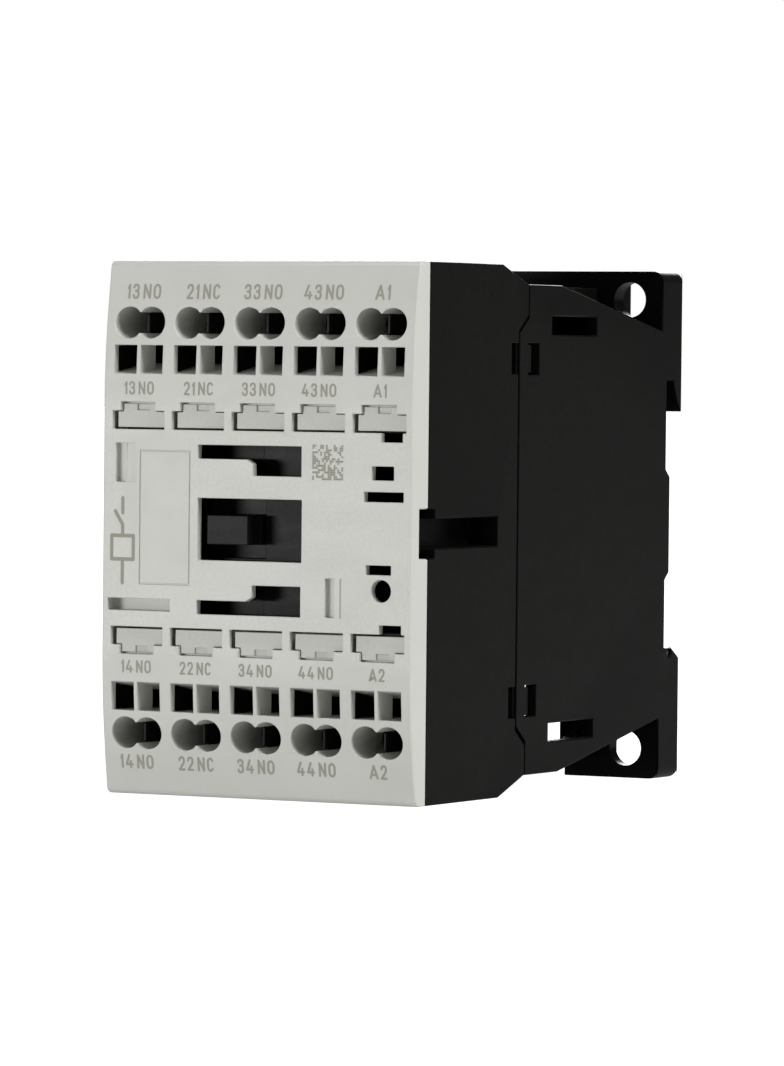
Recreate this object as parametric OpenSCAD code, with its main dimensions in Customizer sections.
// Four-pole control relay with push-in terminals, for a 35 mm mounting rail or two to four screws.
// Frame: X runs to the right, Y from the front face (negative) back to the mounting plane (Y = 0),
// Z upwards. The origin is the centre of the rear mounting plane. All lengths in millimetres.
// Columns 1 to 4 carry the contacts, column 5 carries the coil terminals.

/* [Envelope] */
// overall width across the module
body_w = 45; // [44.8:0.1:46]
// overall height
body_h = 68; // [67.6:0.2:70]
// depth from the mounting plane to the flat part of the front face
body_d = 75; // [74.8:0.1:75.2]
// distance between neighbouring terminal columns
col_pitch = 8.75; // [8.7:0.01:8.8]
// plane where the light cover meets the dark housing, in front of the mounting plane
cover_back = 70.9; // [70.8:0.05:71.1]
// plane of the joint between the contact housing and the base
seam_y = 47; // [46.8:0.1:47.1]
// how much further back the joint sits near the top and bottom
seam_step = 2.6; // [2.4:0.1:2.8]

/* [Front cover] */
// thickness of the front skin
skin = 1.1; // [1.05:0.05:1.2]
// thickness of the cover's side walls
cover_wall = 1.2; // [1:0.1:1.3]
// radius of the gently curved terminal zones
zone_r = 103.7; // [95:0.5:115]
// half height of the flat middle zone
zone_z = 15.6; // [15.4:0.1:15.8]
// diameter of one lobe of a conductor entry
lobe_d = 4.05; // [3.9:0.05:4.15]
// half height of the neck between the two lobes
neck_z = 1.33; // [1.28:0.01:1.38]
// height of the conductor entries above and below the middle
entry_z = 26.1; // [26:0.05:26.2]
// half distance between the two lobes of an entry
lobe_x = 1.62; // [1.55:0.01:1.65]
// inner edge of the release openings
release_z0 = 19.6; // [19.5:0.05:19.7]
// outer edge of the release openings
release_z1 = 23.25; // [23.1:0.05:23.3]
// how much the inner wall of a release opening leans, as rise over depth
release_lean = 0.16; // [0.12:0.01:0.18]
// thickness of the rib between two release openings
release_rib = 0.54; // [0.5:0.02:0.6]
// depth of the shallow slots moulded into the skin
slot_depth = 0.8; // [0.6:0.05:0.8]

/* [Terminals] */
// thickness of the current bars
bar_t = 1; // [0.9:0.05:1]
// width of the current bars
bar_w = 6.4; // [6:0.1:6.6]
// strip thickness of the clamp springs
clamp_t = 0.4; // [0.3:0.05:0.4]
// width of one clamp spring
clamp_w = 3; // [2.6:0.1:3]

/* [Contacts] */
// full travel of the contact carrier
travel = 4; // [3.8:0.05:4]
// part of the travel left over after the contacts touch
overtravel = 0.8; // [0.7:0.05:0.8]
// distance of the contact tips from the middle plane
tip_z = 8; // [7.8:0.1:8.2]
// radius of the contact tips
tip_r = 1.7; // [1.5:0.05:1.8]
// width of a moving bridge
bridge_w = 4.8; // [4.4:0.1:4.8]
// thickness of a moving bridge
bridge_t = 0.8; // [0.7:0.05:0.8]

/* [Magnet] */
// stack thickness of the laminated iron
stack = 12; // [11:0.5:12]
// half width of the middle leg
leg_c = 3.6; // [3.4:0.1:3.7]
// inner edge of the outer legs
leg_in = 13.4; // [13.3:0.1:13.6]
// outer edge of the outer legs
leg_out = 17.2; // [16.8:0.1:17.4]

/* [Base] */
// distance between the fixing holes across the width
hole_dx = 35; // [34.8:0.1:35.2]
// distance between the fixing holes along the height
hole_dz = 60; // [59.8:0.1:60.2]
// diameter of the fixing holes
hole_d = 4.7; // [4.5:0.05:4.8]
// thickness of the mounting plate
plate_t = 5.9; // [5.8:0.05:6]
// wall thickness of the base
base_wall = 1.6; // [1.5:0.05:1.6]
// wire radius of the rail spring
rail_wire = 0.55; // [0.5:0.01:0.58]

/* [Hidden] */
$fn = 64;
eps = 0.02;
end_round = 0.45;
lip = 0.75;
release_lip = 1.3;
backing = 2.6;
tile_z0 = 12.55;
tile_z1 = 14.9;
tile_top = 16.05;
floor_z0 = 12.8;
hw = body_w / 2;
hh = body_h / 2;
yf = -body_d;
rib_back = yf + 4.1;
yc = -cover_back;
ys = -seam_y;
ys2 = ys + seam_step;
cols = [-2, -1, 0, 1, 2];
poles = [-2, -1, 0, 1];
nc_pole = -1;
mag_x = -col_pitch / 2;
cell = 3.7;
block_x = 21.5;
block_z0 = 18.2;
block_z1 = 29.4;
block_back = -66.4;
wall_y = -51.5;
wall_back = -50.1;
room_z = 29.4;
fin_t = 0.44;
fin_back = -64.8;
pin_y = -46.6;
pin_r = 1;
return_x = 10.8;
base_floor = -7.4;
front_in = -69.4;
carrier_front = front_in + 0.3;
carrier_back = -50.9;
arm_front = -48.9;
arm_yoke = -44.3;
pole_arm = -33.1;
pole_core = pole_arm + travel + 0.1;
core_yoke = -14;
core_back = -9.4;
bob_front = -39.6;
bob_back = -14;
bar_z = 28.8;
no_face = wall_y - bar_t;
tip_t = 0.9;
gap = 0.1;
bridge_no = no_face - tip_t - gap - (travel - overtravel) - tip_t;
nc_face = -65;
bridge_nc = nc_face + 2 * tip_t + gap;
spring_no0 = carrier_front + 1.75;
slope_y = -34.9;
slope_z = 25.9;
top_z = 31.5;
cavity_x = hw - base_wall;

// ---------- helpers ----------

// box between two corners
module box(x0, x1, y0, y1, z0, z1) {
    translate([x0, y0, z0]) cube([x1 - x0, y1 - y0, z1 - z0]);
}

// a YZ outline pushed along X
module along_x(x0, x1) {
    translate([x0, 0, 0]) rotate([90, 0, 90]) linear_extrude(height = x1 - x0) children();
}

// an XZ outline pushed along Y
module along_y(y0, y1) {
    translate([0, y1, 0]) rotate([90, 0, 0]) linear_extrude(height = y1 - y0) children();
}

// cylinder along Y
module rod_y(x, z, r, y0, y1) {
    translate([x, y1, z]) rotate([90, 0, 0]) cylinder(r = r, h = y1 - y0);
}

// cylinder along X
module rod_x(y, z, r, x0, x1) {
    translate([x0, y, z]) rotate([0, 90, 0]) cylinder(r = r, h = x1 - x0);
}

// the same shape above and below the middle plane
module both_z() {
    children();
    mirror([0, 0, 1]) children();
}

// the same shape on the left and on the right
module both_x() {
    children();
    mirror([1, 0, 0]) children();
}

// upper row as drawn, lower row mirrored
module row(upper) {
    if (upper) {
        children();
    } else {
        mirror([0, 0, 1]) children();
    }
}

// strip of thickness t along a path of [Y, Z] points with square corners
module strip(path, t, x0, x1) {
    for (i = [0 : len(path) - 2]) {
        a = path[i];
        b = path[i + 1];
        box(x0, x1, min(a[0], b[0]) - t / 2, max(a[0], b[0]) + t / 2,
            min(a[1], b[1]) - t / 2, max(a[1], b[1]) + t / 2);
    }
}

// wire helix with its axis along Y, from y = 0 to y = length
module helix(r, wire, length, turns) {
    seg = 14;
    sides = 6;
    n = turns * seg;
    pts = [for (i = [0 : n]) for (k = [0 : sides - 1])
        let (a = 360 * i / seg, b = 360 * k / sides,
             rr = r + wire * cos(b),
             y = wire + (length - 2 * wire) * i / n + wire * sin(b))
        [rr * cos(a), y, rr * sin(a)]];
    skin_a = [for (i = [0 : n - 1]) for (k = [0 : sides - 1])
        [i * sides + k, (i + 1) * sides + k, (i + 1) * sides + (k + 1) % sides]];
    skin_b = [for (i = [0 : n - 1]) for (k = [0 : sides - 1])
        [i * sides + k, (i + 1) * sides + (k + 1) % sides, i * sides + (k + 1) % sides]];
    ends = [[for (k = [0 : sides - 1]) k], [for (k = [sides - 1 : -1 : 0]) n * sides + k]];
    polyhedron(points = pts, faces = concat(skin_a, skin_b, ends), convexity = 10);
}

// ---------- front cover ----------

// outline of the cover seen from the side: flat middle, curved terminal zones, bevelled ends
module cover_outline() {
    difference() {
        union() {
            translate([yf, -zone_z]) square([yc - yf, 2 * zone_z]);
            for (s = [-1, 1]) {
                intersection() {
                    translate([yf + zone_r, s * zone_z]) circle(r = zone_r, $fn = 256);
                    translate([yf, s > 0 ? zone_z - eps : -hh]) square([yc - yf, hh - zone_z + eps]);
                }
            }
        }
        for (s = [-1, 1]) {
            polygon([[yf, s * (hh - end_round)], [yf + 1.5, s * (hh - end_round)],
                     [yf + 2.1, s * (hh + eps)], [yf, s * (hh + eps)]]);
        }
    }
}

// side view of a release opening from plane y0 back, its inner wall leaning outwards;
// less leaves a clearance all round
module release_outline(y0, y1, less) {
    lean0 = release_z0 + release_lean * (y0 - yf) + less;
    lean1 = release_z0 + release_lean * (y1 - yf) + less;
    polygon([[y0, lean0], [y1, lean1], [y1, release_z1 - less], [y0, release_z1 - less]]);
}

// everything cut into one terminal column of the cover, upper row
module terminal_cuts(x) {
    back = block_back + 1;
    for (s = [-1, 1]) {
        rod_y(x + s * lobe_x, entry_z, lobe_d / 2, yf - 1, back);
    }
    box(x - 0.65, x + 0.65, yf - 1, back, entry_z - neck_z, entry_z + neck_z);
    for (side = [[-3.55, -release_rib / 2], [release_rib / 2, 3.55]]) {
        along_x(x + side[0], x + side[1]) release_outline(yf - 1, back, 0);
    }
    along_x(x - 0.5, x + 0.5) release_outline(rib_back, back, 0);
    along_x(x - 4.25, x - 3.5) release_outline(yf + release_lip, back, 0);
    box(x - 3.65, x + 3.97, yf - 1, yf + 1.8, tile_z0, tile_z1);
    box(x - 4.1, x - 3.1, yf + lip, yf + backing + 1, tile_z0, tile_z1);
    box(x - 2.4, x + 2.6, yf - 1, yf + 1.1, tile_z1 - eps, tile_top);
}

// stepped opening beside the middle window, upper one
module hook_opening() {
    box(-8.5, 6.55, yf - 1, yf + skin + 1, 8.95, 10.72);
    box(-0.45, 6.55, yf - 1, yf + skin + 1, 6.9, 8.97);
    along_y(yf - 1, yf + skin + 1) polygon([[-1.4, 8.97], [-0.43, 8.97], [-0.43, 8.4]]);
}

module front_cover() color([0.79, 0.79, 0.76]) {
    difference() {
        union() {
            difference() {
                along_x(-hw, hw) cover_outline();
                box(-hw + cover_wall, hw - cover_wall, yf + 2.9, yc + 1, -hh + cover_wall, hh - cover_wall);
                box(-hw + cover_wall, hw - cover_wall, yf + skin, yc + 1, -17.6, 17.6);
            }
            both_z() {
                box(-block_x, block_x, yf + 2.2, block_back, block_z0, block_z1);
                box(-hw + cover_wall - eps, hw - cover_wall + eps, yf + skin - eps, yf + backing,
                    floor_z0, 17.7);
            }
            box(-hw + cover_wall - eps, -11.9, yf + skin - eps, yf + backing, -12.1, -8.4);
        }
        both_z() {
            for (c = cols) {
                terminal_cuts(c * col_pitch);
            }
            box(17.9, 21, yf - 1, yf + 4, 11.4, 12.6);
        }
        both_z() hook_opening();
        box(-8.45, 6.65, yf - 1, yf + skin + 1, -3.87, 4);
        box(16.7, 19.8, yf - 1, yf + skin + 1, 6.65, 8.4);
        box(15.6, 21.2, yf - 1, yf + skin + 1, 3.95, 5.2);
        box(15.95, 19.5, yf - 1, yf + skin + 1, -5.15, -3.95);
        rod_y(18.12, -7.15, 1.4, yf - 1, yf + skin + 1);
        box(10.1, 11.4, yf - 1, yf + slot_depth, -10.65, -5.75);
        box(12.25, 12.5, yf - 1, yf + 0.15, -10.65, -5.75);
        box(-20.6, -19.25, yf - 1, yf + slot_depth, 5.85, 10.8);
        box(-19, -17.75, yf - 1, yf + 0.12, 5.85, 10.8);
        box(-21.65, -12.5, yf - 1, yf + backing - 0.6, -10.5, -8.95);
        label_frame();
        both_x() box(hw - 2, hw + 1, yf + 2, yc + 1, -3.1, 3.1);
    }
}

// fine engraved frame of the blank label field
module label_frame() {
    along_y(yf - 1, yf + 0.15) difference() {
        translate([-17.05, -7.15]) square([7.5, 17.1]);
        translate([-16.85, -6.95]) square([7.1, 16.7]);
    }
}

// ---------- marker tiles ----------

module marker_tile(c, upper) color([0.82, 0.82, 0.79]) {
    x = c * col_pitch;
    row(upper) {
        box(x - 3.1, x + 3.87, yf + 0.5, yf + 1.8, floor_z0, tile_z1 - 0.1);
        difference() {
            box(x - 2.3, x + 2.5, yf + 0.5, yf + 1.1, tile_z1 - 0.12, tile_top - 0.25);
            box(x - 0.25, x + 1.55, yf, yf + 0.75, tile_z1 + 0.1, tile_top);
        }
    }
}

// ---------- contact housing ----------

module housing_outline() {
    polygon([[yc, -hh], [-51.4, -hh], [ys2, -top_z], [ys2, -27.6], [ys, -25.6],
             [ys, 25.6], [ys2, 27.6], [ys2, top_z], [-51.4, hh], [yc, hh]]);
}

// room for the contacts and the carrier, the same above and below
module contact_rooms() {
    for (c = poles) {
        box(c * col_pitch - cell, c * col_pitch + cell, front_in, wall_y, -16.6, 16.6);
    }
    box(poles[0] * col_pitch - cell, poles[3] * col_pitch + cell, front_in, wall_back + 1, -5, 5);
}

// room for one push-in terminal, upper row
module terminal_room(x) {
    box(x - cell, x + cell, block_back + 0.1, wall_y, 17.9, room_z);
    box(x - bar_w / 2 - 0.1, x + bar_w / 2 + 0.1, wall_y - 1.2, wall_y, 11, 18);
}

// latching leg that holds the contact housing to the base, right side, upper one
module latch_leg() {
    box(19.75, 20.75, wall_back - 1, -42.4, 20.2, 23.8);
    along_y(ys2 + 0.15, -43) polygon([[20.7, 20.2], [22.2, 20.2], [22.2, 23.8], [20.7, 23.8]]);
}

// thin fin that parts the two lobes of an entry, hung from the outer wall of the terminal room
module entry_fin(x) {
    box(x - fin_t / 2, x + fin_t / 2, yf + 2.6, fin_back, entry_z - 1.2, entry_z + 1.2);
    box(x - fin_t / 2, x + fin_t / 2, block_back + 0.3, fin_back, entry_z + 1.1, room_z + 0.5);
}

// thin wall beside a release opening that parts two terminal rooms inside the cover
module release_screen(x) {
    along_x(x - 4.15, x - 3.66) release_outline(yf + release_lip + 0.3, block_back + 0.3, 0.12);
}

module contact_housing() color([0.125, 0.125, 0.118]) {
    difference() {
        along_x(-hw, hw) housing_outline();
        contact_rooms();
        both_z() {
            box(-21.7, 21.7, yc - 1, block_back + 0.2, 18, 29.6);
            for (c = cols) {
                terminal_room(c * col_pitch);
            }
            box(2 * col_pitch - 3.3, 2 * col_pitch + 3.3, wall_y - 1, wall_back + 1, 12.3, 13.7);
            box(2 * col_pitch - cell, 2 * col_pitch + cell, -60, wall_y, 11.5, 16.6);
            box(-9, -1.2, yc - 1, yc + 1.1, 7.6, 11.4);
        }
        box(-9.5, -0.85, yc - 1, front_in + 1, -3.6, 5);
        both_z() box(14, 21, yc - 1, -61, 2.45, 9.6);
        box(-21, 21, wall_back, ys2 + 5, -30, 30);
        box(18.3, hw + 1, yc - 1, -52.3, -1.85, 1.85);
        box(-hw - 1, -21.6, yc - 1, -52.3, -1.85, 1.85);
        both_x() {
            box(hw - 2.3, hw + 1, yc - 1, -69.05, -3.1, 3.1);
            both_z() box(hw - 2, hw + 1, ys - 1.9, ys + 1, 20, 24);
        }
    }
    both_z() {
        for (c = cols) {
            entry_fin(c * col_pitch);
            release_screen(c * col_pitch);
        }
        both_x() latch_leg();
    }
}

// ---------- base housing ----------

module base_side_outline(inset, front, back) {
    polygon([[front, -25.1 + inset], [ys2 + 0.25, -27.1 + inset], [ys2 + 0.25, -top_z + inset],
             [slope_y, -top_z + inset], [back, -slope_z + inset], [back, slope_z - inset],
             [slope_y, top_z - inset], [ys2 + 0.25, top_z - inset], [ys2 + 0.25, 27.1 - inset],
             [front, 25.1 - inset]]);
}

// space taken by the rail and the way in to it
module rail_space() {
    difference() {
        polygon([[-4.4, 19.3], [-2.5, 19.3], [-1.4, 16.7], [0, 15], [1, 15],
                 [1, -18], [0, -18], [-0.6, -17.6], [-2.3, -16.6], [-4.4, -16.5]]);
        polygon([[-4.5, -7.4], [-3.2, -6.3], [-3.2, 6.3], [-4.5, 7.4]]);
    }
}

// outline of the mounting plate seen from the front, its four corners rounded
module plate_outline() {
    difference() {
        translate([-hw, -hh]) square([body_w, body_h - 0.2]);
        for (sx = [-1, 1]) {
            for (z = [-hh, hh - 0.2]) {
                difference() {
                    translate([sx * (hw - 0.75), z - sign(z) * 0.75]) square(1.5 + eps, center = true);
                    translate([sx * (hw - 1.5), z - sign(z) * 1.5]) circle(r = 1.5);
                }
            }
        }
    }
}

// hollow in the back of the mounting plate beside a fixing hole, from x0 to near the hole's middle
module screw_pocket(x0, y0, side) {
    z = side * hole_dz / 2;
    box(x0, hole_dx / 2 - 0.2, y0, 1, z - 2.7, z + 2.7);
}

module base_housing() color([0.13, 0.13, 0.122]) {
    difference() {
        union() {
            along_x(-hw, hw) base_side_outline(0, ys + 0.25, -plate_t);
            box(-12.5, 12.5, ys2 + 0.25, -plate_t, -top_z, top_z);
            along_y(-plate_t, 0) plate_outline();
            along_x(-hw + 0.4, hw - 0.4) translate([ys, -24]) square([1, 48]);
        }
        difference() {
            along_x(-cavity_x, cavity_x) base_side_outline(base_wall, ys - 1, base_floor);
            both_z() box(-cavity_x - 1, cavity_x + 1, -9, -7, slope_z - base_wall, hh);
        }
        box(-12.5 + base_wall, 12.5 - base_wall, ys2 - 1, base_floor, -top_z + base_wall, top_z - base_wall);
        both_x() {
            screw_pocket(14.75, -3, 1);
            screw_pocket(13.35, -3.75, -1);
        }
        both_x() both_z() {
            rod_y(hole_dx / 2, hole_dz / 2, hole_d / 2, -plate_t - 1, 1);
            box(cavity_x - 1, hw + 1, -37.8, -25.1, 25.1, 27.45);
            box(cavity_x - 1, hw + 1, ys2 + 0.05, -41.3, 19.9, 24);
        }
        box(-21.4, 21.4, ys - 1, ys + 3.5, -5, 5);
        along_x(-hw - 1, hw + 1) rail_space();
        box(-8.4, 8.4, -8, 1, -hh - 1, -21);
        both_x() box(9, 17.5, -27, -11, -30, -24.6);
        box(-11.5, 11.5, -4, 1, 22, 31.2);
        both_x() box(9.8, 12.6, -4, 1, -31.4, -20.5);
        rod_x(-2.9, -17.2, rail_wire + 0.1, -hw - 1, hw + 1);
        box(-11, 11, -4.4, -1.6, -18.4, -15.5);
    }
    for (s = [-1, 1]) {
        x = mag_x + s * (stack / 2 + 0.7);
        box(x - 0.5, x + 0.5, core_back - 3.1, base_floor + eps, -16, 16);
    }
}

// ---------- moving carrier ----------

module contact_carrier() color([0.16, 0.16, 0.155]) {
    x0 = poles[0] * col_pitch - cell + 0.25;
    x1 = poles[3] * col_pitch + cell - 0.25;
    difference() {
        union() {
            box(x0, x1, carrier_front, carrier_back, -4.2, 4.2);
            box(mag_x - 2.98, mag_x + 2.98, yf + 0.5, carrier_front + eps, -1.85, 1.85);
            box(mag_x - 7.6, mag_x + 7.6, carrier_back - eps, arm_front - 0.05, -3.2, 3.2);
            for (s = [-1, 1]) {
                box(mag_x + s * 6.95 - 0.65, mag_x + s * 6.95 + 0.65, arm_front - 0.1, -45.2, -3, 3);
            }
        }
        for (c = poles) {
            carrier_window(c);
        }
        for (s = [-1, 1]) {
            box(mag_x + s * 2.98 - 0.8, mag_x + s * 2.98 + 0.8, yf + 2, yf + 3.9, -3, 3);
        }
        rod_x(pin_y, 0, pin_r, mag_x - 9, mag_x + 9);
    }
}

module carrier_window(c) {
    x = c * col_pitch;
    y0 = c == nc_pole ? bridge_nc - overtravel - gap : spring_no0 - gap;
    y1 = c == nc_pole ? bridge_nc + bridge_t + 9 : bridge_no + gap;
    box(x - 2.6, x + 2.6, y0, y1, -6, 6);
}

// ---------- contacts ----------

// current bar of a normally open contact, upper row
module bar_open(c, upper) color([0.82, 0.58, 0.4]) {
    x = c * col_pitch;
    row(upper) {
        strip([[-64, bar_z], [wall_y - bar_t / 2, bar_z], [wall_y - bar_t / 2, 6.7]],
              bar_t, x - bar_w / 2, x + bar_w / 2);
        rod_y(x, tip_z, tip_r, no_face - tip_t, no_face + eps);
    }
}

// current bar of the normally closed contact: it comes round in front of the bridge
module bar_closed(c, upper) color([0.82, 0.58, 0.4]) {
    x = c * col_pitch;
    row(upper) {
        strip([[-64, bar_z], [wall_y - bar_t / 2, bar_z], [wall_y - bar_t / 2, 15.9],
               [nc_face - bar_t / 2, 15.9], [nc_face - bar_t / 2, 6.7]],
              bar_t, x - bar_w / 2, x + bar_w / 2);
        rod_y(x, tip_z, tip_r, nc_face - eps, nc_face + tip_t);
    }
}

// current bar of a coil terminal, with a tongue that reaches back to the coil
module bar_coil(upper) color([0.82, 0.58, 0.4]) {
    x = 2 * col_pitch;
    row(upper) {
        strip([[-64, bar_z], [wall_y - bar_t / 2, bar_z], [wall_y - bar_t / 2, 13]],
              bar_t, x - bar_w / 2, x + bar_w / 2);
        strip([[wall_y - bar_t / 2, 13], [-42, 13]], bar_t, x - 2.5, x + 2.5);
    }
}

// the two clamp springs of one terminal
module clamp_pair(c, upper) color([0.75, 0.76, 0.77]) {
    x = c * col_pitch;
    row(upper) {
        for (s = [-1, 1]) {
            along_x(x + s * 1.8 - clamp_w / 2, x + s * 1.8 + clamp_w / 2) clamp_outline();
        }
    }
}

module clamp_outline() {
    bow_y = -61;
    bow_z = 19.9;
    r = 2;
    translate([bow_y, bow_z - r]) square([8.4, clamp_t]);
    intersection() {
        difference() {
            translate([bow_y, bow_z]) circle(r = r);
            translate([bow_y, bow_z]) circle(r = r - clamp_t);
        }
        translate([bow_y - 3, bow_z - 3]) square([3 + eps, 6]);
    }
    polygon([[bow_y, bow_z + r - clamp_t], [bow_y + 0.5, bow_z + r - clamp_t], [bow_y + 6.1, 28],
             [bow_y + 5.6, 28.2], [bow_y + 0.3, bow_z + r], [bow_y, bow_z + r]]);
}

// moving bridge with its two tips; the tips face back on an open pole, forward on a closed one
module bridge(c) color([0.8, 0.6, 0.42]) {
    x = c * col_pitch;
    y0 = c == nc_pole ? bridge_nc : bridge_no - bridge_t;
    box(x - bridge_w / 2, x + bridge_w / 2, y0, y0 + bridge_t, -tip_z - 2, tip_z + 2);
    for (s = [-1, 1]) {
        if (c == nc_pole) {
            rod_y(x, s * tip_z, tip_r, y0 - tip_t, y0 + eps);
        } else {
            rod_y(x, s * tip_z, tip_r, y0 + bridge_t - eps, y0 + bridge_t + tip_t);
        }
    }
}

module contact_spring(c) color([0.72, 0.73, 0.75]) {
    x = c * col_pitch;
    y0 = c == nc_pole ? bridge_nc + bridge_t + 0.05 : spring_no0;
    y1 = c == nc_pole ? bridge_nc + bridge_t + 8.9 : bridge_no - bridge_t - 0.05;
    translate([x, y0, 0]) helix(1.85, 0.25, y1 - y0, 7);
}

// ---------- magnet and coil ----------

module e_outline(yoke_far, yoke_near, pole) {
    y0 = min(yoke_far, yoke_near);
    translate([y0, -leg_out]) square([abs(yoke_near - yoke_far), 2 * leg_out]);
    l0 = min(yoke_near, pole);
    len = abs(pole - yoke_near);
    e = yoke_near > pole ? 0 : -eps;
    translate([l0 + e, -leg_c]) square([len + eps, 2 * leg_c]);
    for (s = [0, 1]) {
        translate([l0 + e, s > 0 ? leg_in : -leg_out]) square([len + eps, leg_out - leg_in]);
    }
}

module armature() color([0.56, 0.57, 0.58]) {
    difference() {
        along_x(mag_x - stack / 2, mag_x + stack / 2) e_outline(arm_front, arm_yoke, pole_arm);
        rod_x(pin_y, 0, pin_r, mag_x - 9, mag_x + 9);
    }
}

module armature_pin() color([0.66, 0.67, 0.68]) {
    rod_x(pin_y, 0, pin_r - 0.03, mag_x - 7.9, mag_x + 7.9);
}

module magnet_core() color([0.56, 0.57, 0.58]) {
    difference() {
        along_x(mag_x - stack / 2, mag_x + stack / 2) e_outline(core_back, core_yoke, pole_core);
        both_z() box(mag_x - 9, mag_x + 9, pole_core - 1, pole_core + 1.6, leg_out - 2.3, leg_out - 1.7);
    }
}

// short-circuit ring round the outer part of one pole face
module shading_ring(upper) color([0.78, 0.5, 0.32]) {
    w = stack / 2;
    row(upper) difference() {
        box(mag_x - w - 0.7, mag_x + w + 0.7, pole_core + 0.5, pole_core + 1.5, leg_out - 2.3, leg_out + 0.7);
        box(mag_x - w, mag_x + w, pole_core, pole_core + 2, leg_out - 1.7, leg_out);
    }
}

module core_buffer() color([0.1, 0.1, 0.1]) {
    box(mag_x - stack / 2, mag_x + stack / 2, core_back, base_floor, -leg_out + 1, leg_out - 1);
}

module coil_bobbin() color([0.2, 0.2, 0.2]) {
    bx = stack / 2 + 0.4;
    bz = leg_c + 0.4;
    difference() {
        union() {
            for (y = [bob_front, bob_back - 1.2]) {
                box(mag_x - 14.5, mag_x + 14.5, y, y + 1.2, -12.9, 12.9);
            }
            box(mag_x - bx - 0.9, mag_x + bx + 0.9, bob_front, bob_back, -bz - 0.9, bz + 0.9);
            both_z() box(mag_x + 14.4, 19.6, bob_front, bob_front + 2.4, 10.4, 12.9);
        }
        box(mag_x - bx, mag_x + bx, bob_front - 1, bob_back + 1, -bz, bz);
        both_z() box(15.5, 19, bob_front - 1, bob_front + 1.8, 11.5, 12.5);
    }
}

module coil_winding() color([0.72, 0.36, 0.18]) {
    bx = stack / 2 + 1.3;
    bz = leg_c + 1.3;
    along_y(bob_front + 1.2, bob_back - 1.2) translate([mag_x, 0]) difference() {
        union() {
            square([27, 19.8], center = true);
            square([23, 23.8], center = true);
            for (sx = [-1, 1]) {
                for (sz = [-1, 1]) {
                    translate([sx * 11.5, sz * 9.9]) circle(r = 2);
                }
            }
        }
        square([2 * bx, 2 * bz], center = true);
    }
}

// blade on the bobbin that meets the coil terminal bar
module coil_blade(upper) color([0.8, 0.62, 0.42]) {
    row(upper) box(15.5, 19, -44.4, bob_front + 1.8, 11.5, 12.5);
}

module return_spring(s) color([0.72, 0.73, 0.75]) {
    translate([mag_x + s * return_x, carrier_back + 0.02, 0])
        helix(2.2, 0.3, bob_front - carrier_back - 0.04, 6);
}

// ---------- rail spring ----------

// round wire along points of the XZ plane at depth y, mitred at each bend
module wire_path(points, y, r) {
    sides = 16;
    last = len(points) - 1;
    turn = [for (i = [0 : last])
        let (a = points[min(i + 1, last)] - points[min(i, last - 1)],
             b = points[max(i, 1)] - points[max(i - 1, 0)])
        [atan2(a[1], a[0]), atan2(b[1], b[0])]];
    rings = [for (i = [0 : last]) for (k = [0 : sides - 1])
        let (lean = (turn[i][0] + turn[i][1]) / 2,
             grow = 1 / cos((turn[i][0] - turn[i][1]) / 2),
             u = r * cos(360 * k / sides) * grow,
             v = r * sin(360 * k / sides))
        [points[i][0] - u * sin(lean), y + v, points[i][1] + u * cos(lean)]];
    tube = [for (i = [0 : last - 1]) for (k = [0 : sides - 1])
        [i * sides + k, i * sides + (k + 1) % sides, (i + 1) * sides + (k + 1) % sides, (i + 1) * sides + k]];
    ends = [[for (k = [sides - 1 : -1 : 0]) k], [for (k = [0 : sides - 1]) last * sides + k]];
    polyhedron(points = rings, faces = concat(tube, ends), convexity = 4);
}

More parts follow.
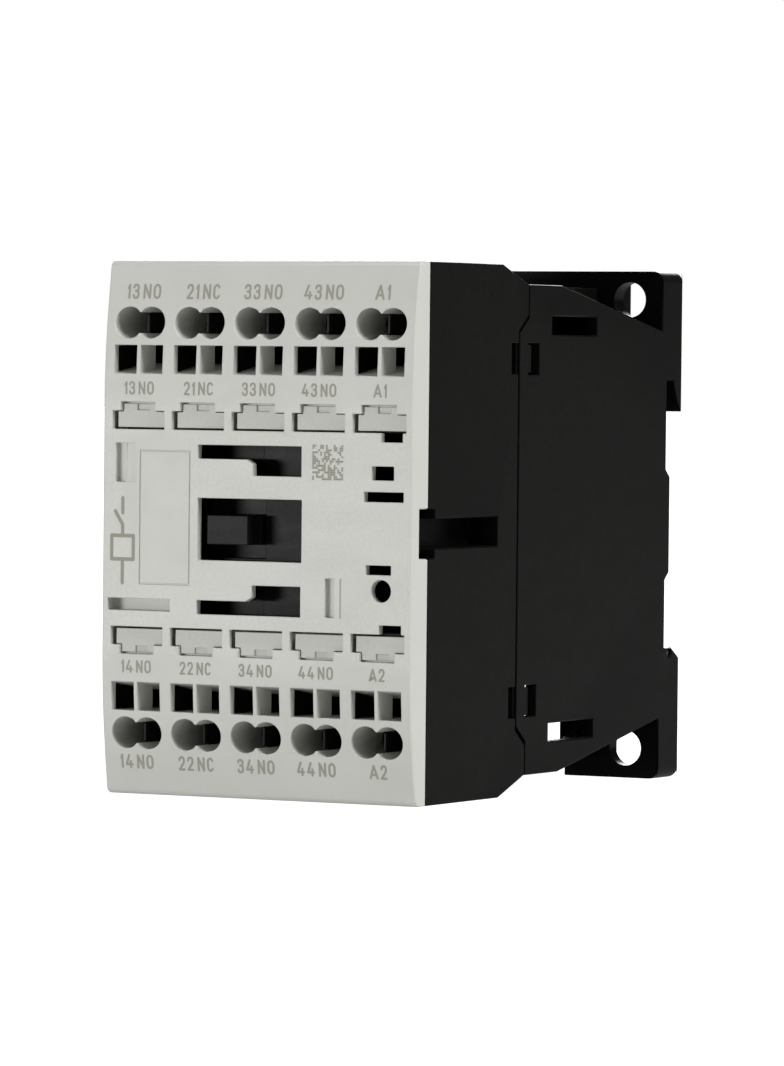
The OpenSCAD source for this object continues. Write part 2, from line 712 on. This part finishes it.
// the wire rises in the middle to press on the rail
module rail_spring() color([0.7, 0.71, 0.73]) {
    wire_path([[-hw + 0.4, -17.2], [-9.5, -17.2], [-7, -16.4], [7, -16.4], [9.5, -17.2], [hw - 0.4, -17.2]],
              -2.9, rail_wire);
}

// ---------- one line per node ----------

front_cover();
marker_tile(-2, true);  // marker_tile_13
marker_tile(-1, true);  // marker_tile_21
marker_tile(0, true);  // marker_tile_33
marker_tile(1, true);  // marker_tile_43
marker_tile(2, true);  // marker_tile_a1
marker_tile(-2, false);  // marker_tile_14
marker_tile(-1, false);  // marker_tile_22
marker_tile(0, false);  // marker_tile_34
marker_tile(1, false);  // marker_tile_44
marker_tile(2, false);  // marker_tile_a2
contact_housing();
base_housing();
contact_carrier();
armature();
armature_pin();
magnet_core();
shading_ring(true);  // shading_ring_upper
shading_ring(false);  // shading_ring_lower
core_buffer();
coil_bobbin();
coil_winding();
coil_blade(true);  // coil_blade_a1
coil_blade(false);  // coil_blade_a2
return_spring(-1);  // return_spring_left
return_spring(1);  // return_spring_right
bar_open(-2, true);  // terminal_bar_13
bar_closed(-1, true);  // terminal_bar_21
bar_open(0, true);  // terminal_bar_33
bar_open(1, true);  // terminal_bar_43
bar_coil(true);  // terminal_bar_a1
bar_open(-2, false);  // terminal_bar_14
bar_closed(-1, false);  // terminal_bar_22
bar_open(0, false);  // terminal_bar_34
bar_open(1, false);  // terminal_bar_44
bar_coil(false);  // terminal_bar_a2
clamp_pair(-2, true);  // clamp_springs_13
clamp_pair(-1, true);  // clamp_springs_21
clamp_pair(0, true);  // clamp_springs_33
clamp_pair(1, true);  // clamp_springs_43
clamp_pair(2, true);  // clamp_springs_a1
clamp_pair(-2, false);  // clamp_springs_14
clamp_pair(-1, false);  // clamp_springs_22
clamp_pair(0, false);  // clamp_springs_34
clamp_pair(1, false);  // clamp_springs_44
clamp_pair(2, false);  // clamp_springs_a2
bridge(-2);  // bridge_13_14
bridge(-1);  // bridge_21_22
bridge(0);  // bridge_33_34
bridge(1);  // bridge_43_44
contact_spring(-2);  // contact_spring_13_14
contact_spring(-1);  // contact_spring_21_22
contact_spring(0);  // contact_spring_33_34
contact_spring(1);  // contact_spring_43_44
rail_spring();
